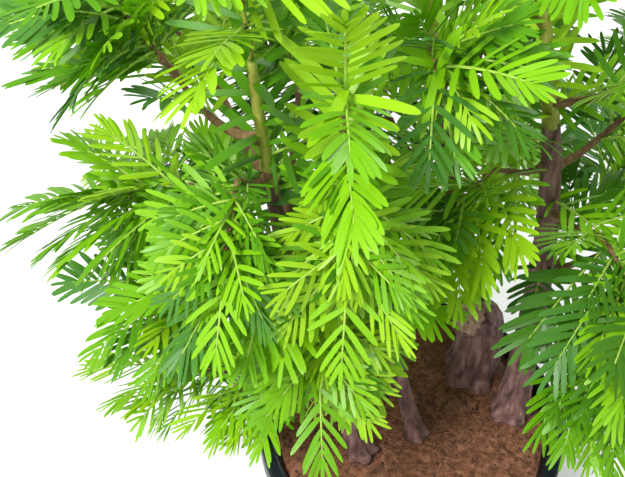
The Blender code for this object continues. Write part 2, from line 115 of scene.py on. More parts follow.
# Stems, as in the solids. A height is above the soil.
Stem = namedtuple("Stem", "foot top bow start height foot_radius top_radius flare")
STEMS = {
    "left": Stem((-0.026, -0.016), (-0.072, -0.008), (-0.011, 0.012), 0.0, 0.266, 0.0056, 0.0016, 0.55),
    "front": Stem((0.003, -0.006), (-0.040, -0.022), (-0.005, 0.017), 0.0, 0.236, 0.0044, 0.0014, 0.50),
    "back": Stem((0.036, 0.041), (-0.010, 0.038), (-0.003, 0.008), 0.045, 0.266, 0.0046, 0.0014, 0.0),
    "right": Stem((0.054, 0.008), (0.032, 0.034), (0.012, 0.011), 0.0, 0.258, 0.0080, 0.0017, 0.45),
}
STEM_STATIONS = 10
STEM_CROWDING = 1.6
STEM_TAPER = 0.8
FLARE_HEIGHT = 0.009
FLARE_LOBES = 5
LOBE_DEPTH = 0.14
CUT_TRUNK = Stem((0.036, 0.035), (0.036, 0.040), (0.001, 0.0), 0.0, 0.060, 0.0125, 0.0108, 0.30)
CUT_SLANT = Vector((-0.5, -0.45, 0.75))
CUT_STATIONS = 6
CUT_RINGS = 70
CUT_SIDES = 64
FACE_RINGS = 8
FACE_SIDES = 48
FACE_SHARE = 0.9
FACE_DOME = 0.0009
FACE_SINK = 0.0007
FACE_ROUGH = 0.0012

# Bark relief: rings up a stem, points round it, and the depth of its long fissures.
STEM_RINGS = 150
STEM_SIDES = 44
FISSURE_DEPTH = 0.075
KNOB_DEPTH = 0.05
GREEN_FROM = 0.74
BOUGH_RINGS = 26
BOUGH_SIDES = 10
# A bough's bark runs on along its twig, each (share of the twig's length, share of its radius).
BARK_ON_TWIG = ((0.04, 1.0), (0.08, 0.95), (0.20, 0.88), (0.35, 0.80))
KNOT = 0.5
KNOT_LENGTH = 0.0014
ROOT_SWELL = 1.15
ROOT_DEPTH = 0.4
BUD_RADIUS = 0.0011
BUD_LENGTH = 0.0030
BUD_SHAPE = (0.5, 0.9, 1.0, 0.75, 0.3)

# Boughs, as in the solids. Azimuth 0 is +X and 270 the front.
Bough = namedtuple("Bough", "stem height azimuth rise reach turn pitch size")
BOUGHS = (
    Bough("left", 0.048, 196, 42, 0.022, -10, 6, 0.68),
    Bough("left", 0.058, 178, 6, 0.030, -11, 0, 0.88),
    Bough("left", 0.075, 121, 21, 0.066, 14, 0, 1.00),
    Bough("left", 0.098, 168, 23, 0.032, 5, 0, 0.86),
    Bough("left", 0.204, 238, 40, 0.020, 20, -36, 0.64),
    Bough("left", 0.138, 143, 28, 0.046, 22, -15, 1.05),
    Bough("left", 0.160, 84, 24, 0.062, 20, 5, 1.18),
    Bough("left", 0.195, 119, 22, 0.060, 28, 18, 1.18),
    Bough("left", 0.224, 175, 48, 0.040, -5, 60, 0.95),
    Bough("front", 0.114, 195, 14, 0.024, 76, -16, 0.72),
    Bough("front", 0.150, 205, 30, 0.026, -10, 0, 0.85),
    Bough("front", 0.220, 275, 35, 0.010, -10, -44, 0.66),
    Bough("back", 0.072, 78, 10, 0.045, -8, -4, 1.15),
    Bough("back", 0.120, 130, 26, 0.052, -4, 0, 1.18),
    Bough("back", 0.138, 222, 20, 0.018, -22, 0, 0.95),
    Bough("back", 0.170, 66, 30, 0.048, 12, 6, 1.18),
    Bough("back", 0.222, 250, 50, 0.032, 20, 30, 0.90),
    Bough("right", 0.060, 315, 30, 0.012, -2, -4, 0.85),
    Bough("right", 0.080, 56, 24, 0.055, -4, -5, 1.18),
    Bough("right", 0.100, 4, 28, 0.030, 0, 2, 1.10),
    Bough("right", 0.140, 300, 28, 0.028, -5, -6, 1.00),
    Bough("right", 0.165, 24, 34, 0.042, 4, 12, 1.15),
    Bough("right", 0.168, 208, 25, 0.026, 10, -12, 0.85),
    Bough("right", 0.205, 338, 40, 0.036, 0, 30, 1.10),
    Bough("right", 0.212, 95, 35, 0.046, 5, 20, 1.00),
)
BOUGH_STATIONS = 5
BOUGH_RADIUS = 0.0014
BOUGH_GAIN = 0.0144
BOUGH_BARK_SHARE = 0.8
BOUGH_THIN = 0.58
COLLAR = 0.35
COLLAR_FADE = 8.0
BOUGH_SPRING = 0.35

# Foliage, as in the solids.
TWIG_LENGTH = 0.043
TWIG_RADIUS = 0.0013
TWIG_THIN = 0.7
TWIG_BEND = 7.0
SPRAY_LENGTH = 0.050
SPRAY_SHORTENS = 0.12
END_SPRAY_ROOT = 0.96
PAIR_OFFSET = 0.0004
NODES = 4
FIRST_NODE = 0.14
LAST_NODE = 0.88
BASE_SPREAD = 68.0
END_SPREAD = 44.0
SPREAD_PLAY = 4.0
SHINGLE = 20.0
PLATE_ROLL = 25.0
CRESTS = 2
CREST_SHARE = 0.75
CREST_CLIMB = 48.0
CREST_PLAY = 8.0
CREST_ROLL = 35.0
STEEP = 0.7
SPRAY_SAG = 0.20
BLADE_ARCH = 0.08
BLADE_HALF_WIDTH = 0.40
LIMB_SPACE = 0.0006
RIM_SPACE = 0.003
SLEEVE_SIDES = 8

# Finer foliage: sprays between the main ones, above and below them, and along the boughs.
# A fine layer is (tilt in degrees, share of a main spray's length).
FINE_LAYERS = ((26.0, 0.80), (-24.0, 0.74))
FINE_PAIRS = 3
FINE_CRESTS = 5
BOUGH_SPRAYS = 3
STEM_SPRAY_PITCH = 0.016
STEM_SPRAYS_FROM = 0.40
STEM_SPRAYS_TO = 0.84
GOLDEN_TURN = 137.5
TWIG_STATIONS = 10
FINE_SPACE = -0.005
REACH_SPACE = 0.003

# Needles. Stations run from root to tip, each (share of the length, share of the half width).
NEEDLE_STATIONS = ((0.0, 0.30), (0.07, 0.66), (0.30, 1.0), (0.66, 0.98), (0.88, 0.80), (0.965, 0.46))
NEEDLE_LONGEST = 0.0228
NEEDLE_BASE = 0.0065
NEEDLE_GAIN = 0.33
NEEDLE_HALF_WIDTH = 0.071
NEEDLE_THICK = 0.00040
NEEDLE_FOLD = 0.20
NEEDLE_EDGE = math.radians(16.0)
# Angles between needle and rachis, each (spread wide, leaning forward).
BASE_ANGLE = (74.0, 58.0)
TIP_ANGLE = (30.0, 20.0)
PAIR_PITCH = 0.0040
TIP_CROWDING = 0.45
FIRST_PAIR = 0.08
LAST_PAIR = 0.985
PIECE_NEEDLES = 5000
SHOOT_PITCH = 0.0052
SHOOT_NEEDLE = 0.0270
TWIG_NEEDLE = 0.72 * SHOOT_NEEDLE
SHOOT_STATIONS = 9
RACHIS_RADIUS = 0.00070
RACHIS_STATIONS = 6

# Greens as display values, from the young growth's lime to deep green, and how often each is dealt to a
# spray: the young deal for fresh growth, a deal of brighter greens as painted light on sprays far out or
# high up, and a deal of darker greens as painted shade inside the crown.
GREENS = {
    "needles_lime": (162, 212, 28),
    "needles_fresh": (142, 204, 20),
    "needles_bright": (122, 188, 16),
    "needles_mid": (98, 166, 14),
    "needles_deep": (74, 134, 14),
    "needles_cool": (84, 146, 50),
}
YOUNG_DEAL = (5, 5, 3, 1, 0, 0)
PAINTED_LIGHT_DEAL = (2, 4, 5, 4, 2, 1)
PAINTED_SHADE_DEAL = (0, 1, 3, 5, 4, 3)
YOUNG_MASSES = 0.3
# Where painted light gives way to painted shade: sprays whose tips lie farther than this from the crown's
# middle, or higher than this, get the brighter greens.
CROWN_CENTRE = Vector((0.0, 0.02, 0.0))
OUTER_FROM = 0.085
HIGH_FROM = 0.24
GLOW_SHARE = 0.30

# Display colours of the other materials, from their dark hollows to their pale ridges.
BARK_COLOURS = ((54, 36, 34), (100, 70, 66), (134, 99, 94), (164, 134, 128))
TWIG_COLOURS = ((84, 58, 38), (122, 92, 58), (150, 122, 78))
SHOOT_COLOURS = ((132, 108, 50), (152, 156, 58), (184, 196, 92))
CUT_COLOURS = ((128, 92, 78), (190, 152, 132), (214, 180, 160))
SOIL_COLOURS = ((62, 36, 26), (108, 68, 48), (138, 91, 66), (164, 113, 84))
CRUMB_COLOURS = ((58, 34, 22), (108, 70, 46), (146, 98, 64))
FIBRE_COLOURS = ((120, 78, 48), (176, 126, 84))
POT_COLOURS = ((9, 17, 26), (9, 17, 26), (20, 31, 42))
FLOOR_COLOURS = ((244, 244, 244), (250, 250, 250))
GRAIN_SPAN = (0.30, 0.70)
RACHIS_COLOUR = (176, 214, 84)
RACHIS_GLOW = (190, 225, 90)


def display(red, green, blue):
    """A colour socket's value for a colour given as it is displayed, 0 to 255."""
    linear = []
    for part in (red, green, blue):
        share = part / 255
        linear.append(share / 12.92 if share <= 0.04045 else ((share + 0.055) / 1.055) ** 2.4)
    return (*linear, 1.0)


def new_object(name, mesh, material=None):
    obj = bpy.data.objects.new(name, mesh)
    bpy.context.scene.collection.objects.link(obj)
    if material:
        mesh.materials.append(material)
    return obj


def new_mesh(name, points, faces):
    mesh = bpy.data.meshes.new(name)
    mesh.from_pydata([tuple(point) for point in points], [], faces)
    mesh.update()
    mesh.shade_smooth()
    return mesh


def band_faces(rings, sides, first=0):
    """Quads between each ring of points and the next one."""
    faces = []
    for k in range(rings - 1):
        for j in range(sides):
            low = first + k * sides + j
            high = first + k * sides + (j + 1) % sides
            faces.append((low, high, high + sides, low + sides))
    return faces


def circle(sides):
    """Directions round a circle, each as its cosine and sine."""
    angles = [2 * math.pi * j / sides for j in range(sides)]
    return [(math.cos(angle), math.sin(angle)) for angle in angles]


def disc_faces(rings, sides):
    """A fan round point 0, and quads from each ring of points to the next one out."""
    faces = [(0, 1 + j, 1 + (j + 1) % sides) for j in range(sides)]
    for low, high, high_out, low_out in band_faces(rings, sides, 1):
        faces.append((low, low_out, high_out, high))
    return faces


def declare(obj, nodes=()):
    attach(obj, BODY)
    if nodes:
        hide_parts(*nodes)


def stem_point(stem, height):
    """The middle of a stem at a height above the soil."""
    t = (height - stem.start) / (stem.height - stem.start)
    swing = math.sin(math.pi * t)
    x = stem.foot[0] + (stem.top[0] - stem.foot[0]) * t + stem.bow[0] * swing
    y = stem.foot[1] + (stem.top[1] - stem.foot[1]) * t + stem.bow[1] * swing
    return Vector((x, y, SOIL_TOP + GAP + height))


def stem_radius(stem, height):
    t = (height - stem.start) / (stem.height - stem.start)
    radius = stem.top_radius + (stem.foot_radius - stem.top_radius) * max(1 - t, 0.0) ** STEM_TAPER
    return radius * (1 + stem.flare * math.exp(-(height - stem.start) / FLARE_HEIGHT))


def stem_route(stem, stations):
    """Points and radii up a stem, as the solids have them."""
    points = []
    radii = []
    for k in range(stations):
        height = stem.start + (stem.height - stem.start) * (k / (stations - 1)) ** STEM_CROWDING
        points.append(stem_point(stem, height))
        radii.append(stem_radius(stem, height))
    points[1].xy = points[0].xy
    return points, radii


def on_stem(stem, height):
    """The middle, radius and heading of the straight stretch of a stem at a height above the soil."""
    points, radii = stem_route(stem, STEM_STATIONS)
    z = SOIL_TOP + GAP + height
    k = max(k for k in range(STEM_STATIONS - 1) if points[k].z <= z)
    share = (z - points[k].z) / (points[k + 1].z - points[k].z)
    middle = points[k].lerp(points[k + 1], share)
    radius = radii[k] + (radii[k + 1] - radii[k]) * share
    return middle, radius, (points[k + 1] - points[k]).normalized()


def flat_direction(azimuth):
    angle = math.radians(azimuth)
    return Vector((math.cos(angle), math.sin(angle), 0.0))


def direction(azimuth, climb):
    angle = math.radians(climb)
    return flat_direction(azimuth) * math.cos(angle) + UP * math.sin(angle)


def bough_route(bough, stations=BOUGH_STATIONS):
    """Points and radii of a bough: square out of its stem's bark, then curving up to its rise."""
    middle, bark, along = on_stem(STEMS[bough.stem], bough.height)
    out = flat_direction(bough.azimuth)
    out = (out - along * out.dot(along)).normalized()
    start = middle + out * (bark + GAP)
    thick = min(BOUGH_RADIUS + BOUGH_GAIN * bough.reach, BOUGH_BARK_SHARE * bark)
    end = start + direction(bough.azimuth, bough.rise) * bough.reach
    knee = start + out * (BOUGH_SPRING * bough.reach)
    points = []
    radii = []
    for k in range(stations):
        t = k / (stations - 1)
        points.append(start * (1 - t) ** 2 + knee * (2 * t * (1 - t)) + end * t ** 2)
        radii.append(thick * (1 - (1 - BOUGH_THIN) * t) * (1 + COLLAR * math.exp(-COLLAR_FADE * t)))
    if stations == BOUGH_STATIONS:
        points[1] = start + out * (points[1] - start).length
    return points, radii


class Mass:
    """One mass of foliage: its twig, and the frame that its sprays spread in."""

    def __init__(self, name, root, heading, size, seed):
        self.name = name
        self.root = root
        self.heading = heading.normalized()
        self.size = size
        self.random = random.Random(seed)
        self.length = TWIG_LENGTH * size
        self.steep = abs(self.heading.z) > STEEP
        level = UP if not self.steep else Vector((0.0, -1.0, 0.0))
        self.normal = (level - self.heading * level.dot(self.heading)).normalized()
        bend = math.radians(self.random.uniform(-TWIG_BEND, TWIG_BEND))
        self.bow = self.normal.cross(self.heading) * math.tan(bend)
        roll = math.radians(self.random.uniform(-PLATE_ROLL, PLATE_ROLL))
        self.normal = Matrix.Rotation(roll, 3, self.heading) @ self.normal

    def twig_point(self, t):
        return self.root + self.heading * (self.length * t) + self.bow * (self.length * t * t)

    def node_point(self, share):
        """The point at a share of the way from the twig's first node to its last."""
        return self.twig_point(FIRST_NODE + (LAST_NODE - FIRST_NODE) * share)

    def tip(self):
        return self.twig_point(1.0)

    def distance(self, point):
        """How far a point lies from the twig's straight line, root to tip."""
        near, share = intersect_point_line(point, self.root, self.tip())
        if share < 0:
            near = self.root
        elif share > 1:
            near = self.tip()
        return (point - near).length


class Spray:
    """One spray of needles: a drooping rachis from a point of a twig, and the plane of its needles."""

    def __init__(self, root, heading, normal, length, sag=SPRAY_SAG):
        self.root = root
        self.heading = heading.normalized()
        self.normal = (normal - self.heading * normal.dot(self.heading)).normalized()
        self.side = self.normal.cross(self.heading)
        self.length = length
        self.sag = sag

    def point(self, along, across=0.0):
        """A point of the spray, from shares of its length along and across the rachis."""
        drop = self.sag * along * along + BLADE_ARCH * across * across / BLADE_HALF_WIDTH
        flat = self.heading * along + self.side * across
        return self.root + (flat - UP * drop) * self.length

    def outline(self):
        """Points that stand for the spray's reach."""
        wide = BLADE_HALF_WIDTH * 0.8
        return [self.point(0.45), self.point(1.0), self.point(0.6, wide), self.point(0.6, -wide)]


def main_sprays(mass):
    """The sprays that the solids have: one at the twig's end, a pair at each node, and crests."""
    rng = mass.random
    length = SPRAY_LENGTH * mass.size
    sprays = [Spray(mass.twig_point(END_SPRAY_ROOT), mass.heading + mass.bow, mass.normal, length)]
    for k in range(NODES):
        share = k / (NODES - 1)
        root = mass.node_point(share)
        turn = math.radians(90.0 * k if mass.steep else 0.0)
        normal = Matrix.Rotation(turn, 3, mass.heading) @ mass.normal
        for side in (-1, 1):
            spread = BASE_SPREAD + (END_SPREAD - BASE_SPREAD) * share
            spread += rng.uniform(-SPREAD_PLAY, SPREAD_PLAY)
            heading = Matrix.Rotation(math.radians(spread * side), 3, normal) @ mass.heading
            flat = mass.heading if mass.steep else normal
            plane = Matrix.Rotation(math.radians(SHINGLE * side), 3, heading) @ flat
            reach = length * (1.0 - SPRAY_SHORTENS * share) * rng.uniform(0.92, 1.04)
            sprays.append(Spray(root + mass.heading * (PAIR_OFFSET * side), heading, plane, reach))
    for k in range(CRESTS):
        side = mass.normal * (-1) ** k
        root = mass.node_point((k + 0.5) / CRESTS)
        climb = math.radians(CREST_CLIMB + rng.uniform(-CREST_PLAY, CREST_PLAY))
        heading = mass.heading * math.cos(climb) + side * math.sin(climb)
        roll = math.radians(rng.uniform(-CREST_ROLL, CREST_ROLL))
        across = Matrix.Rotation(roll, 3, heading) @ mass.heading
        sprays.append(Spray(root, heading, across, length * CREST_SHARE * rng.uniform(0.9, 1.05)))
    return sprays


def fine_sprays(mass, rng):
    """Sprays between the main ones: pairs tilted up and down, and crests all round."""
    length = SPRAY_LENGTH * mass.size
    sprays = []
    for tilt, share_of_length in FINE_LAYERS:
        for k in range(FINE_PAIRS):
            share = (k + 0.5) / FINE_PAIRS
            root = mass.node_point(share)
            turn = math.radians(90.0 * k + 45.0 if mass.steep else 0.0)
            normal = Matrix.Rotation(turn, 3, mass.heading) @ mass.normal
            for side in (-1, 1):
                spread = BASE_SPREAD + (END_SPREAD - BASE_SPREAD) * share + rng.uniform(-12.0, 12.0)
                heading = Matrix.Rotation(math.radians(spread * side), 3, normal) @ mass.heading
                climb = math.radians(tilt + rng.uniform(-9.0, 9.0))
                heading = heading * math.cos(climb) + normal * math.sin(climb)
                flat = mass.heading if mass.steep else normal
                roll = math.radians(SHINGLE * side + rng.uniform(-18.0, 18.0))
                plane = Matrix.Rotation(roll, 3, heading) @ flat
                reach = length * share_of_length * rng.uniform(0.8, 1.1)
                sprays.append(Spray(root, heading, plane, reach, rng.uniform(0.1, 0.3)))
    for k in range(FINE_CRESTS):
        turn = math.radians(360.0 * k / FINE_CRESTS + rng.uniform(-20.0, 20.0))
        side = Matrix.Rotation(turn, 3, mass.heading) @ mass.normal
        root = mass.twig_point(rng.uniform(0.2, 0.95))
        climb = math.radians(rng.uniform(28.0, 55.0))
        heading = mass.heading * math.cos(climb) + side * math.sin(climb)
        roll = math.radians(rng.uniform(-50.0, 50.0))
        plane = Matrix.Rotation(roll, 3, heading) @ (UP + mass.heading * 0.2)
        sprays.append(Spray(root, heading, plane, length * rng.uniform(0.6, 0.8), rng.uniform(0.1, 0.3)))
    return sprays


def bough_sprays(bough, mass, rng):
    """A few sprays on the outer half of a bough, which fill in behind its mass."""
    points, _ = bough_route(bough)
    along = (points[-1] - points[0]).normalized()
    sprays = []
    for k in range(BOUGH_SPRAYS):
        share = 0.45 + 0.5 * (k + 0.5) / BOUGH_SPRAYS
        spot = share * (len(points) - 1)
        low = int(spot)
        root = points[low].lerp(points[low + 1], spot - low)
        side = 1 if k % 2 else -1
        heading = Matrix.Rotation(math.radians(side * rng.uniform(35.0, 70.0)), 3, UP) @ along
        heading = heading + UP * rng.uniform(-0.1, 0.45)
        plane = UP + heading.cross(UP) * rng.uniform(-0.5, 0.5)
        sprays.append(Spray(root, heading, plane, SPRAY_LENGTH * mass.size * rng.uniform(0.6, 0.85)))
    return sprays


def stem_sprays(stem, rng):
    """Short sprays round the middle part of a stem, winding up it."""
    sprays = []
    height = stem.start + (stem.height - stem.start) * STEM_SPRAYS_FROM
    turn = rng.uniform(0.0, 360.0)
    last = stem.start + (stem.height - stem.start) * STEM_SPRAYS_TO
    while height < last:
        middle, _, along = on_stem(stem, height)
        out = flat_direction(turn)
        heading = out + along * rng.uniform(0.25, 0.9)
        sprays.append(Spray(middle, heading, along, SPRAY_LENGTH * rng.uniform(0.62, 0.95)))
        height += STEM_SPRAY_PITCH * rng.uniform(0.7, 1.2)
        turn += GOLDEN_TURN
    return sprays


def sleeve(points, radii):
    """Points and faces of an open sleeve round a limb, a little clear of it."""
    sides = SLEEVE_SIDES
    rings = []
    for k, point in enumerate(points):
        before = points[max(k - 1, 0)]
        after = points[min(k + 1, len(points) - 1)]
        along = (after - before).normalized()
        across = along.orthogonal().normalized()
        other = along.cross(across)
        radius = (radii[k] + LIMB_SPACE) / math.cos(math.pi / sides)
        for cosine, sine in circle(sides):
            rings.append(point + (across * cosine + other * sine) * radius)
    return rings, band_faces(len(points), sides)


def stem_tree():
    """A search tree of sleeves round every stem."""
    points = []
    faces = []
    routes = [stem_route(stem, STEM_STATIONS) for stem in STEMS.values()]
    routes.append(stem_route(CUT_TRUNK, CUT_STATIONS))
    for route, radii in routes:
        rings, quads = sleeve(route, radii)
        first = len(points)
        points += rings
        faces += [tuple(first + index for index in quad) for quad in quads]
    return BVHTree.FromPolygons(points, faces)


def plan_masses():
    """A mass at each bough's tip and one at each stem's top."""
    masses = []
    for k, bough in enumerate(BOUGHS):
        points, _ = bough_route(bough)
        heading = direction(bough.azimuth + bough.turn, bough.pitch)
        leaving = (points[-1] - points[-2]).normalized()
        tilt = leaving.cross(heading).length
        root = points[-1] + leaving * (GAP + TWIG_RADIUS * tilt)
        masses.append(Mass(f"foliage_{bough.stem}_{k + 1:02d}", root, heading, bough.size, k + 1))
    for k, (name, stem) in enumerate(STEMS.items()):
        tip, _, heading = on_stem(stem, stem.height)
        root = tip + heading * GAP
        masses.append(Mass(f"foliage_{name}_top", root, heading, 1.0, 101 + k))
    return masses


def within_reach(points, box):
    """Whether every point is above the pot's rim, and in the solids' box or barely past it."""
    low, high = box
    for point in points:
        if point.z < POT_HEIGHT + RIM_SPACE:
            return False
        if any(point[k] < low[k] - REACH_SPACE or point[k] > high[k] + REACH_SPACE for k in range(3)):
            return False
    return True


def in_own_space(points, mass, masses):
    """Whether every point is about as near to this mass's twig as to any other's."""
    for point in points:
        own = mass.distance(point) + FINE_SPACE
        if any(other is not mass and other.distance(point) < own for other in masses):
            return False
    return True


def clear_of_stems(spray, stems):
    """Whether the outer part of a spray's rachis and edges cross no stem."""
    for across in (-0.25, 0.0, 0.25):
        start = spray.point(0.25, across * 0.5)
        end = spray.point(1.0, across)
        reach = end - start
        hit = stems.ray_cast(start, reach.normalized(), reach.length)
        if hit[0] is not None:
            return False
    return True


class Needles:
    """Needles of one colour, gathered as rows and made into meshes at the end."""

    def __init__(self):
        self.rows = []

    def add(self, root, along, face, bend, length, half_width):
        along = along.normalized()
        face = (face - along * face.dot(along)).normalized()
        self.rows.append((*root, *along, *face, *bend, length, half_width))

    def meshes(self, name):
        """Meshes of all the needles, each with at most PIECE_NEEDLES of them."""
        made = []
        for k in range(0, len(self.rows), PIECE_NEEDLES):
            points, faces = needle_arrays(np.array(self.rows[k:k + PIECE_NEEDLES]))
            mesh = new_mesh(f"{name}_{k // PIECE_NEEDLES + 1}", points, faces)
            mesh.set_sharp_from_angle(angle=NEEDLE_EDGE)
            made.append(mesh)
        return made


def needle_arrays(rows):
    """Points and faces of needles: rings of four points, pinched to one point at the tip."""
    root, along, face, bend = (rows[:, k:k + 3][:, None, :] for k in (0, 3, 6, 9))
    length = rows[:, 12][:, None, None]
    half = rows[:, 13][:, None, None]
    across = np.cross(face, along)
    share = np.array([s for s, _ in NEEDLE_STATIONS] + [1.0])[None, :, None]
    width = np.array([w for _, w in NEEDLE_STATIONS] + [0.0])[None, :, None]
    middle = root + (along * share + bend * share ** 2) * length
    edge = across * half * width
    raised = face * half * width * NEEDLE_FOLD
    thick = face * NEEDLE_THICK / 2 * (0.4 + 0.6 * width)
    rings = np.stack([middle + edge + raised, middle + thick, middle - edge + raised, middle - thick], 2)
    count, stations = rings.shape[:2]
    body = rings[:, :-1].reshape(count, -1, 3)
    points = np.concatenate([body, middle[:, -1:]], 1).reshape(-1, 3)
    each = (stations - 1) * 4 + 1
    last = 4 * (stations - 2)
    quads = np.array([(3, 2, 1, 0)] + band_faces(stations - 1, 4))
    tips = np.array([(last + j, last + (j + 1) % 4, each - 1) for j in range(4)])
    shift = (np.arange(count) * each)[:, None, None]
    faces = (quads + shift).reshape(-1, 4).tolist() + (tips + shift).reshape(-1, 3).tolist()
    return points.tolist(), faces


def needle_length(spray_length, t):
    """The length of a needle at a share of the spray: longest two fifths of the way out."""
    longest = min(NEEDLE_LONGEST, NEEDLE_BASE + NEEDLE_GAIN * spray_length)
    return longest * (1 - (t - 0.40) ** 2)


def add_spray_needles(spray, store, rng, fan):
    """Pairs of needles along a spray. Fan is how far the needles lean forward, 0 to 1."""
    pairs = max(6, round(spray.length * (LAST_PAIR - FIRST_PAIR) / PAIR_PITCH))
    base_angle = BASE_ANGLE[0] + (BASE_ANGLE[1] - BASE_ANGLE[0]) * fan
    tip_angle = TIP_ANGLE[0] + (TIP_ANGLE[1] - TIP_ANGLE[0]) * fan
    droop = rng.uniform(0.02, 0.20)
    lift = rng.uniform(-0.10, 0.24)
    twist = rng.uniform(-14.0, 14.0)
    for k in range(pairs):
        t = k / (pairs - 1)
        t = FIRST_PAIR + (LAST_PAIR - FIRST_PAIR) * (t + TIP_CROWDING * t * (1 - t))
        root = spray.point(t)
        ahead = (spray.point(t + 0.02) - spray.point(t - 0.02)).normalized()
        face = ahead.cross(spray.side)
        for side in (-1, 1):
            angle = math.radians(base_angle + (tip_angle - base_angle) * t + rng.uniform(-7.0, 7.0))
            along = ahead * math.cos(angle) + spray.side * (side * math.sin(angle))
            along += face * (lift + rng.uniform(-0.07, 0.07))
            roll = math.radians(twist * side + rng.uniform(-20.0, 20.0))
            roll = Matrix.Rotation(roll, 3, along.normalized())
            length = needle_length(spray.length, t) * rng.uniform(0.88, 1.06)
            bend = ahead * rng.uniform(0.0, 0.16) - UP * (droop + rng.uniform(-0.05, 0.07))
            half = NEEDLE_HALF_WIDTH * length * rng.uniform(0.92, 1.1)
            store.add(root, along, roll @ face, bend, length, half)
    along = spray.point(1.0) - spray.point(0.96)
    face = along.cross(spray.side)
    length = needle_length(spray.length, 1.0)
    store.add(spray.point(0.99), along, face, -UP * droop, length, NEEDLE_HALF_WIDTH * length)


def add_shoot_needles(points, store, rng, length):
    """Single needles in turned pairs along a green shoot, pointing up it."""
    turn = rng.uniform(0.0, 180.0)
    for before, here in zip(points, points[1:]):
        ahead = (here - before).normalized()
        across = Matrix.Rotation(math.radians(turn), 3, ahead) @ ahead.orthogonal().normalized()
        for side in (-1, 1):
            angle = math.radians(rng.uniform(42.0, 62.0))
            along = ahead * math.cos(angle) + across * (side * math.sin(angle))
            reach = length * rng.uniform(0.8, 1.08)
            bend = across * (side * rng.uniform(0.0, 0.16)) - UP * rng.uniform(0.0, 0.15)
            store.add(here, along, ahead, bend, reach, NEEDLE_HALF_WIDTH * reach)
        turn += 90.0 + rng.uniform(-12.0, 12.0)


def tube_arrays(points, radii, sides, relief=None):
    """Points and faces of a closed tube. Relief gives each point's share of the radius."""
    across = (points[1] - points[0]).orthogonal().normalized()
    rings = []
    for k, point in enumerate(points):
        before = points[max(k - 1, 0)]
        after = points[min(k + 1, len(points) - 1)]
        along = (after - before).normalized()
        across = (across - along * across.dot(along)).normalized()
        other = along.cross(across)
        for cosine, sine in circle(sides):
            out = across * cosine + other * sine
            share = relief(k, out) if relief else 1.0
            rings.append(point + out * (radii[k] * share))
    faces = band_faces(len(points), sides)
    faces.append(tuple(reversed(range(sides))))
    faces.append(tuple(range((len(points) - 1) * sides, len(points) * sides)))
    return rings, faces


def tube(name, material, points, radii, sides, relief=None):
    """An object that is one closed tube."""
    return new_object(name, new_mesh(name, *tube_arrays(points, radii, sides, relief)), material)


class Limbs:
    """Tubes gathered into one mesh."""

    def __init__(self):
        self.points = []
        self.faces = []

    def add(self, points, faces):
        first = len(self.points)
        self.points += points
        self.faces += [tuple(first + index for index in face) for face in faces]

    def made(self, name, material):
        return new_object(name, new_mesh(name, self.points, self.faces), material)


def bark_relief(points, radii, seed, flare, fissure):
    """A stem's relief: long fissures, slow swellings, and buttresses at a flared foot."""
    middle = points[0]

    def relief(k, out):
        point = points[k] + out * radii[0]
        spot = Vector((out.x * 3.4, out.y * 3.4, point.z * 70.0 + seed * 7.0))
        fine = Vector((out.x * 8.0, out.y * 8.0, point.z * 190.0 + seed * 3.0))
        slow = Vector((out.x * 0.8, out.y * 0.8, point.z * 45.0 + seed * 11.0))
        share = 1.0 - fissure * max(0.0, noise.noise(spot)) * 2.2
        share += fissure * 0.5 * noise.noise(fine) + KNOB_DEPTH * noise.noise(slow)
        if flare:
            fade = math.exp(-(points[k].z - middle.z) / FLARE_HEIGHT)
            share += LOBE_DEPTH * fade * math.cos(FLARE_LOBES * math.atan2(out.y, out.x))
        return share

    return relief


def fine_stem(stem, rings, first, last):
    """Closely spaced points and radii of a stem between two shares of its height."""
    points = []
    radii = []
    for k in range(rings):
        share = first + (last - first) * k / (rings - 1)
        height = stem.start + (stem.height - stem.start) * share
        points.append(stem_point(stem, height))
        radii.append(stem_radius(stem, height))
    return points, radii


def add_stems(bark, shoot_bark):
    """Each stem's bark, to where it turns green, and its green leader."""
    for k, (name, stem) in enumerate(STEMS.items()):
        points, radii = fine_stem(stem, STEM_RINGS, 0.0, GREEN_FROM + 0.01)
        relief = bark_relief(points, radii, k, stem.flare, FISSURE_DEPTH)
        obj = tube(f"bark_{name}", bark, points, radii, STEM_SIDES, relief)
        declare(obj, [f"stem_{name}"])
        points, radii = fine_stem(stem, STEM_RINGS // 3, GREEN_FROM, 1.0)
        relief = bark_relief(points, radii, k, 0.0, FISSURE_DEPTH / 3)
        declare(tube(f"leader_{name}", shoot_bark, points, radii, STEM_SIDES // 2, relief))


def add_cut_trunk(bark, cut_wood):
    """The old trunk to its slanting cut, with a pale worn face."""
    points, radii = stem_route(CUT_TRUNK, CUT_STATIONS)
    lean = CUT_SLANT.normalized()
    points[-1] = points[-2] + lean * (points[-1] - points[-2]).length
    fine_points = []
    fine_radii = []
    for k in range(CUT_RINGS):
        spot = k / (CUT_RINGS - 1) * (len(points) - 1)
        low = min(int(spot), len(points) - 2)
        fine_points.append(points[low].lerp(points[low + 1], spot - low))
        fine_radii.append(radii[low] + (radii[low + 1] - radii[low]) * (spot - low))
    for k in range(1, CUT_RINGS - 1):
        fine_points[k] = (fine_points[k - 1] + fine_points[k] * 2 + fine_points[k + 1]) / 4
    relief = bark_relief(fine_points, fine_radii, 9, CUT_TRUNK.flare, FISSURE_DEPTH * 1.3)
    obj = tube("bark_old_trunk", bark, fine_points, fine_radii, CUT_SIDES, relief)
    declare(obj, ["stem_back"])
    heading = (fine_points[-1] - fine_points[-2]).normalized()
    add_cut_face(fine_points[-1], heading, fine_radii[-1] * FACE_SHARE, cut_wood)


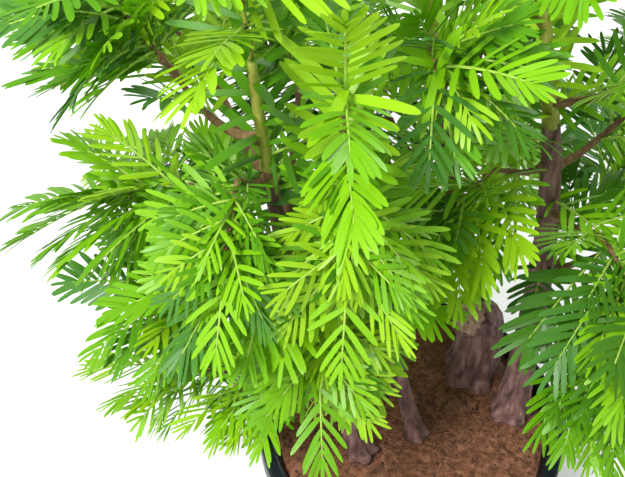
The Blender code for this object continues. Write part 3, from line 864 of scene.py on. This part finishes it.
def add_cut_face(middle, heading, radius, cut_wood):
    """The worn wood of the cut: a low uneven dome that sinks into the bark at its edge."""
    across = heading.orthogonal().normalized()
    other = heading.cross(across)
    points = [middle + heading * FACE_ROUGH]
    for ring in range(1, FACE_RINGS + 1):
        share = ring / FACE_RINGS
        for cosine, sine in circle(FACE_SIDES):
            out = across * cosine + other * sine
            rough = noise.noise(out * 2.2 + Vector((0.0, 0.0, share * 3.0)))
            lift = FACE_DOME * (1 - share * share) - FACE_SINK * share ** 4
            points.append(middle + out * (radius * share) + heading * (lift + FACE_ROUGH * rough * share))
    mesh = new_mesh("cut_face", points, disc_faces(FACE_RINGS, FACE_SIDES))
    declare(new_object("cut_face", mesh, cut_wood))


def add_boughs(masses, twig_bark, shoot_bark):
    """Every bough with its collar in the bark, and the twig that each mass grows on."""
    boughs = Limbs()
    twigs = Limbs()
    for k, bough in enumerate(BOUGHS):
        points, radii = bough_route(bough, BOUGH_RINGS)
        middle, bark, _ = on_stem(STEMS[bough.stem], bough.height)
        points.insert(0, middle.lerp(points[0], ROOT_DEPTH))
        radii.insert(0, radii[0] * ROOT_SWELL)
        mass = masses[k]
        points += [mass.twig_point(along) for along, _ in BARK_ON_TWIG]
        radii += [TWIG_RADIUS * thick for _, thick in BARK_ON_TWIG]
        for j, point in enumerate(points):
            radii[j] *= 1 + KNOT * math.exp(-((point - mass.root).length / KNOT_LENGTH) ** 2)
        relief = bark_relief(points, radii, 20 + k, 0.0, FISSURE_DEPTH)
        boughs.add(*tube_arrays(points, radii, BOUGH_SIDES, relief))
    for mass in masses:
        add_buds(mass, boughs)
        shares = [k / (TWIG_STATIONS - 1) for k in range(TWIG_STATIONS)]
        points = [mass.twig_point(share) for share in shares]
        radii = [TWIG_RADIUS * (1 - (1 - TWIG_THIN * 0.7) * share) * 0.9 for share in shares]
        twigs.add(*tube_arrays(points, radii, 8))
    names = [f"bough_{bough.stem}_{k + 1:02d}" for k, bough in enumerate(BOUGHS)]
    declare(boughs.made("boughs", twig_bark), names)
    declare(twigs.made("twigs", shoot_bark))


def add_buds(mass, limbs):
    """A pair of small scaly buds at each node of a twig."""
    for k in range(NODES):
        root = mass.node_point(k / (NODES - 1))
        for side in (-1, 1):
            heading = (mass.normal * side + mass.heading * 0.7).normalized()
            last = len(BUD_SHAPE) - 1
            points = [root + heading * (BUD_LENGTH * j / last) for j in range(last + 1)]
            limbs.add(*tube_arrays(points, [BUD_RADIUS * share for share in BUD_SHAPE], 8))


def dealt(rng, deal):
    return rng.choices(list(GREENS), weights=deal)[0]


def painted_light_and_shade_deal(tip):
    """Painted light and shade: brighter greens for a spray whose tip is far out or high up, darker ones as
    painted shade inside the crown.
    """
    if (tip - CROWN_CENTRE).xy.length > OUTER_FROM or tip.z > HIGH_FROM:
        return PAINTED_LIGHT_DEAL
    return PAINTED_SHADE_DEAL


def add_foliage(masses, box, stems, greens, rachis_green):
    """Every spray with its rachis and needles, joined by colour."""
    rng = random.Random(7)
    stores = {name: Needles() for name in GREENS}
    rachises = Limbs()
    for k, mass in enumerate(masses):
        sprays = main_sprays(mass)
        young = k >= len(BOUGHS)
        if not young:
            sprays += fine_sprays(mass, rng) + bough_sprays(BOUGHS[k], mass, rng)
            young = rng.random() < YOUNG_MASSES
        kept = []
        for spray in sprays:
            outline = spray.outline()
            if not within_reach(outline, box) or not in_own_space(outline, mass, masses):
                continue
            if clear_of_stems(spray, stems):
                kept.append(spray)
        for spray in kept:
            # Sprays on older masses get painted light far out and high up, and painted shade inside the
            # crown.
            deal = YOUNG_DEAL if young else painted_light_and_shade_deal(spray.point(1.0))
            add_dressed_spray(spray, stores[dealt(rng, deal)], rachises, rng)
        last = SHOOT_STATIONS - 1
        twig = [mass.twig_point(0.1 + 0.9 * j / last) for j in range(SHOOT_STATIONS)]
        length = TWIG_NEEDLE if k < len(BOUGHS) else SHOOT_NEEDLE
        # The twig's own needles and the stem sprays get the brighter greens of the painted-light deal.
        add_shoot_needles(twig, stores[dealt(rng, PAINTED_LIGHT_DEAL)], rng, length)
    for stem in STEMS.values():
        for spray in stem_sprays(stem, rng):
            if within_reach(spray.outline(), box):
                add_dressed_spray(spray, stores[dealt(rng, PAINTED_LIGHT_DEAL)], rachises, rng)
        count = round((stem.height - stem.start) * (1 - GREEN_FROM) / SHOOT_PITCH)
        points, _ = fine_stem(stem, count, GREEN_FROM, 1.0)
        add_shoot_needles(points, stores[dealt(rng, YOUNG_DEAL)], rng, SHOOT_NEEDLE)
    nodes = [mass.name for mass in masses]
    for name, store in stores.items():
        for mesh in store.meshes(name):
            declare(new_object(mesh.name, mesh, greens[name]), nodes)
    declare(rachises.made("rachises", rachis_green), nodes)


def add_dressed_spray(spray, store, rachises, rng):
    """A spray's rachis and needles."""
    shares = [k / (RACHIS_STATIONS - 1) for k in range(RACHIS_STATIONS)]
    radii = [RACHIS_RADIUS * (1 - 0.55 * share) for share in shares]
    rachises.add(*tube_arrays([spray.point(share) for share in shares], radii, 5))
    add_spray_needles(spray, store, rng, rng.random())


def arc(centre, radius, start, end, steps):
    """Points of an arc in a turned profile, as (radius, height)."""
    points = []
    for k in range(steps + 1):
        angle = math.radians(start + (end - start) * k / steps)
        points.append((centre[0] + radius * math.cos(angle), centre[1] + radius * math.sin(angle)))
    return points


def wall_radius(z):
    """The radius of the pot's inner wall at a height."""
    share = (z - POT_FLOOR) / (POT_HEIGHT - POT_FLOOR)
    foot = FOOT_RADIUS - POT_WALL
    return foot + share * (POT_RADIUS - RIM_WIDTH - foot)


def turned(name, profile, segments, material):
    """A solid of revolution: the profile (radius, height) runs down its outer side."""
    mesh = bpy.data.meshes.new(name)
    edges = [(k, k + 1) for k in range(len(profile) - 1)]
    mesh.from_pydata([(r, 0.0, z) for r, z in profile], edges, [])
    obj = new_object(name, mesh, material)
    screw = obj.modifiers.new("Turn", "SCREW")
    screw.steps = segments
    screw.render_steps = segments
    screw.use_merge_vertices = True
    screw.merge_threshold = 0.00001
    screw.use_smooth_shade = True
    return obj


def add_pot(material):
    """The pot with a broad rounded rim, a plain tapering wall and holes in its floor."""
    rim_foot = POT_HEIGHT - RIM_DEPTH
    inner = POT_RADIUS - RIM_WIDTH
    top = POT_HEIGHT - RIM_ROUND
    profile = [(0.0, POT_FLOOR), (wall_radius(POT_FLOOR), POT_FLOOR)]
    profile += [(wall_radius(top - 0.001), top - 0.001)]
    profile += arc((inner + RIM_ROUND, top), RIM_ROUND, 180.0, 90.0, 6)
    profile += arc((POT_RADIUS - RIM_ROUND, top), RIM_ROUND, 90.0, 0.0, 6)
    profile += arc((POT_RADIUS - 0.0012, rim_foot + 0.0012), 0.0012, 0.0, -90.0, 4)
    profile += [(BODY_RADIUS + 0.0008, rim_foot), (BODY_RADIUS, rim_foot - 0.0012)]
    profile += arc((FOOT_RADIUS - RIM_ROUND, RIM_ROUND), RIM_ROUND, 0.0, -90.0, 6)
    profile += [(0.0, 0.0)]
    pot = turned("pot_shell", profile, POT_SEGMENTS, material)
    for k, (cosine, sine) in enumerate(circle(DRAIN_HOLES)):
        place = (DRAIN_CIRCLE * cosine, DRAIN_CIRCLE * sine)
        points = [Vector((*place, z)) for z in (-POT_FLOOR, 2 * POT_FLOOR)]
        cutter = tube(f"drain_cutter_{k}", None, points, [DRAIN_RADIUS] * 2, DRAIN_SEGMENTS)
        cut = pot.modifiers.new(f"Drain {k}", "BOOLEAN")
        cut.operation = "DIFFERENCE"
        cut.object = cutter
    bpy.context.view_layer.update()
    mesh = bpy.data.meshes.new_from_object(pot.evaluated_get(bpy.context.evaluated_depsgraph_get()))
    pot.modifiers.clear()
    pot.data = mesh
    for k in range(DRAIN_HOLES):
        bpy.data.objects.remove(bpy.data.objects[f"drain_cutter_{k}"], do_unlink=True)
    mesh.set_sharp_from_angle(angle=POT_EDGE)
    declare(pot, ["pot"])


def soil_height(x, y):
    """The height of the soil's lumpy top."""
    edge = max(0.0, (math.hypot(x, y) - SOIL_FLAT_RADIUS) / (wall_radius(SOIL_EDGE) - SOIL_FLAT_RADIUS))
    base = SOIL_TOP - (SOIL_TOP - SOIL_EDGE) * edge ** 2
    lumps = noise.noise(Vector((x * 90.0, y * 90.0, 0.0)))
    lumps += 0.6 * noise.noise(Vector((x * 260.0, y * 260.0, 3.0)))
    lumps += 0.25 * noise.noise(Vector((x * 700.0, y * 700.0, 5.0)))
    return base + SOIL_RELIEF * lumps


def add_soil(soil, crumb_material, fibre_material):
    """The soil's lumpy top on its solid, with crumbs and coir fibres strewn over it."""
    points = [Vector((0.0, 0.0, soil_height(0.0, 0.0)))]
    outer = wall_radius(SOIL_EDGE) - GAP
    for ring in range(1, SOIL_RINGS + 1):
        radius = outer * ring / SOIL_RINGS
        for cosine, sine in circle(SOIL_SEGMENTS):
            x = radius * cosine
            y = radius * sine
            points.append(Vector((x, y, soil_height(x, y))))
    base = POT_FLOOR + GAP
    radius = wall_radius(base) - GAP
    points += [Vector((radius * cosine, radius * sine, base)) for cosine, sine in circle(SOIL_SEGMENTS)]
    faces = disc_faces(SOIL_RINGS + 1, SOIL_SEGMENTS)
    last = 1 + SOIL_RINGS * SOIL_SEGMENTS
    faces.append(tuple(reversed(range(last, last + SOIL_SEGMENTS))))
    declare(new_object("soil_bed", new_mesh("soil_bed", points, faces), soil), ["soil"])
    add_crumbs(outer, crumb_material)
    add_fibres(outer, fibre_material)


def on_soil(rng, outer):
    radius = outer * 0.97 * math.sqrt(rng.random())
    angle = rng.uniform(0.0, 2 * math.pi)
    x = radius * math.cos(angle)
    y = radius * math.sin(angle)
    return Vector((x, y, soil_height(x, y)))


def add_crumbs(outer, material):
    """Small rough lumps: squashed octahedra with knocked corners."""
    rng = random.Random(11)
    crumbs = Limbs()
    corners = [Vector(c) for c in ((1, 0, 0), (0, 1, 0), (-1, 0, 0), (0, -1, 0), (0, 0, 1), (0, 0, -1))]
    faces = [(0, 1, 4), (1, 2, 4), (2, 3, 4), (3, 0, 4), (1, 0, 5), (2, 1, 5), (3, 2, 5), (0, 3, 5)]
    for _ in range(CRUMBS):
        place = on_soil(rng, outer)
        size = 0.0004 + 0.0011 * rng.random() ** 2
        turn = Matrix.Rotation(rng.uniform(0.0, 6.28), 3, "Z")
        turn = turn @ Matrix.Rotation(rng.uniform(-0.6, 0.6), 3, "X")
        shape = Vector((rng.uniform(0.8, 2.0), rng.uniform(0.6, 1.1), rng.uniform(0.35, 0.8)))
        points = []
        for corner in corners:
            knocked = corner * rng.uniform(0.75, 1.2)
            points.append(place + turn @ Vector([knocked[k] * shape[k] * size for k in range(3)]))
        crumbs.add(points, faces)
    declare(crumbs.made("soil_crumbs", material))


def add_fibres(outer, material):
    """Coir fibres: thin curved hairs lying on the soil."""
    rng = random.Random(12)
    fibres = Limbs()
    for _ in range(FIBRES):
        start = on_soil(rng, outer * 0.94)
        heading = flat_direction(rng.uniform(0.0, 360.0))
        length = rng.uniform(0.003, 0.011)
        curl = rng.uniform(-0.5, 0.5)
        points = []
        for k in range(5):
            t = k / 4
            spot = start + (heading * t + heading.cross(UP) * (curl * t * t)) * length
            if spot.xy.length > outer * 0.97:
                spot.xy = spot.xy.normalized() * outer * 0.97
            spot.z = soil_height(spot.x, spot.y) + 0.0004 + 0.0006 * math.sin(math.pi * t) * rng.random()
            points.append(spot)
        fibres.add(*tube_arrays(points, [0.00012] * 5, 4))
    declare(fibres.made("soil_fibres", material))


def nodes_of(material):
    material.use_nodes = True
    return material.node_tree.nodes, material.node_tree.links, material.node_tree.nodes["Principled BSDF"]


def mottled(name, colours, scale, stretch, roughness, bump, depth):
    """A material whose colour wanders between the given display colours, with a bump of the same grain."""
    material = bpy.data.materials.new(name)
    nodes, links, shader = nodes_of(material)
    place = nodes.new("ShaderNodeTexCoord")
    mapping = nodes.new("ShaderNodeMapping")
    mapping.inputs["Scale"].default_value = stretch
    grain = nodes.new("ShaderNodeTexNoise")
    grain.inputs["Scale"].default_value = scale
    grain.inputs["Detail"].default_value = 6.0
    grain.inputs["Roughness"].default_value = 0.62
    ramp = nodes.new("ShaderNodeValToRGB")
    first, last = GRAIN_SPAN
    ramp.color_ramp.elements[0].position = first
    ramp.color_ramp.elements[0].color = display(*colours[0])
    ramp.color_ramp.elements[1].position = last
    ramp.color_ramp.elements[1].color = display(*colours[-1])
    for k, colour in enumerate(colours[1:-1], 1):
        element = ramp.color_ramp.elements.new(first + (last - first) * k / (len(colours) - 1))
        element.color = display(*colour)
    relief = nodes.new("ShaderNodeBump")
    relief.inputs["Strength"].default_value = bump
    relief.inputs["Distance"].default_value = depth
    links.new(place.outputs["Object"], mapping.inputs["Vector"])
    links.new(mapping.outputs["Vector"], grain.inputs["Vector"])
    links.new(grain.outputs["Fac"], ramp.inputs["Fac"])
    links.new(ramp.outputs["Color"], shader.inputs["Base Color"])
    links.new(grain.outputs["Fac"], relief.inputs["Height"])
    links.new(relief.outputs["Normal"], shader.inputs["Normal"])
    shader.inputs["Roughness"].default_value = roughness
    return material


def leaf_material(name, colour, glow, share):
    """Living green: a waxy surface that lets some light through."""
    material = bpy.data.materials.new(name)
    nodes, links, shader = nodes_of(material)
    shader.inputs["Base Color"].default_value = colour
    shader.inputs["Roughness"].default_value = 0.42
    shader.inputs["Specular IOR Level"].default_value = 0.45
    through = nodes.new("ShaderNodeBsdfTranslucent")
    through.inputs["Color"].default_value = glow
    mix = nodes.new("ShaderNodeMixShader")
    mix.inputs["Fac"].default_value = share
    links.new(shader.outputs["BSDF"], mix.inputs[1])
    links.new(through.outputs["BSDF"], mix.inputs[2])
    links.new(mix.outputs["Shader"], nodes["Material Output"].inputs["Surface"])
    return material


def green_materials():
    made = {}
    for name, (red, green, blue) in GREENS.items():
        glow = display(min(255, red * 1.15 + 10), min(255, green * 1.04), blue)
        made[name] = leaf_material(name, display(red, green, blue), glow, GLOW_SHARE)
    return made


def pot_material():
    """Satin black-blue moulded plastic, with a faint dusty bloom."""
    return mottled("pot_plastic", POT_COLOURS, 14.0, (1, 1, 1), 0.38, 0.08, 0.0004)


def add_camera():
    camera = bpy.data.cameras.new("camera")
    camera.lens = CAMERA_LENS
    camera.sensor_width = 36.0
    camera.clip_start = 0.01
    obj = bpy.data.objects.new("camera", camera)
    obj.location = CAMERA_PLACE
    obj.rotation_euler = (CAMERA_TARGET - CAMERA_PLACE).to_track_quat("-Z", "Y").to_euler()
    bpy.context.scene.collection.objects.link(obj)
    bpy.context.scene.camera = obj


def add_light(name, place, target, size, watts):
    light = bpy.data.lights.new(name, "AREA")
    light.shape = "DISK"
    light.size = size
    light.energy = watts
    obj = bpy.data.objects.new(name, light)
    obj.location = place
    obj.rotation_euler = (Vector(target) - Vector(place)).to_track_quat("-Z", "Y").to_euler()
    bpy.context.scene.collection.objects.link(obj)


def add_studio():
    """A white sky, a soft key from the upper left, a light from behind, and a pale floor."""
    scene = bpy.context.scene
    world = bpy.data.worlds.new("studio")
    world.use_nodes = True
    world.node_tree.nodes["Background"].inputs["Color"].default_value = (1.0, 1.0, 1.0, 1.0)
    world.node_tree.nodes["Background"].inputs["Strength"].default_value = SKY
    scene.world = world
    add_light("key", *KEY_LIGHT)
    add_light("back", *BACK_LIGHT)
    half = FLOOR_HALF
    corners = [(-half, -half), (half, -half), (half, half), (-half, half)]
    mesh = new_mesh("floor", [Vector((x, y, -GAP)) for x, y in corners], [(0, 1, 2, 3)])
    pale = mottled("floor", FLOOR_COLOURS, 2.0, (1, 1, 1), 0.8, 0.0, 0.001)
    new_object("floor", mesh, pale)
    scene.view_settings.view_transform = "Standard"


def build(box):
    add_camera()
    add_studio()
    bark = mottled("bark", BARK_COLOURS, 260.0, (1, 1, 0.16), 0.85, 0.5, 0.0008)
    twig_bark = mottled("twig_bark", TWIG_COLOURS, 420.0, (1, 1, 0.4), 0.75, 0.3, 0.0003)
    shoot_bark = mottled("shoot_bark", SHOOT_COLOURS, 120.0, (1, 1, 0.5), 0.55, 0.15, 0.0002)
    cut_wood = mottled("cut_wood", CUT_COLOURS, 420.0, (1, 1, 1), 0.8, 0.4, 0.0004)
    soil = mottled("soil", SOIL_COLOURS, 330.0, (1, 1, 1), 0.95, 0.9, 0.0012)
    crumbs = mottled("crumbs", CRUMB_COLOURS, 160.0, (1, 1, 1), 0.95, 0.5, 0.0005)
    fibres = mottled("fibres", FIBRE_COLOURS, 90.0, (1, 1, 1), 0.8, 0.2, 0.0002)
    rachis = leaf_material("rachis", display(*RACHIS_COLOUR), display(*RACHIS_GLOW), 0.2)
    masses = plan_masses()
    add_pot(pot_material())
    add_soil(soil, crumbs, fibres)
    add_stems(bark, shoot_bark)
    add_cut_trunk(bark, cut_wood)
    add_boughs(masses, twig_bark, shoot_bark)
    add_foliage(masses, box, stem_tree(), green_materials(), rachis)


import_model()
cad_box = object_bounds()
build(cad_box)
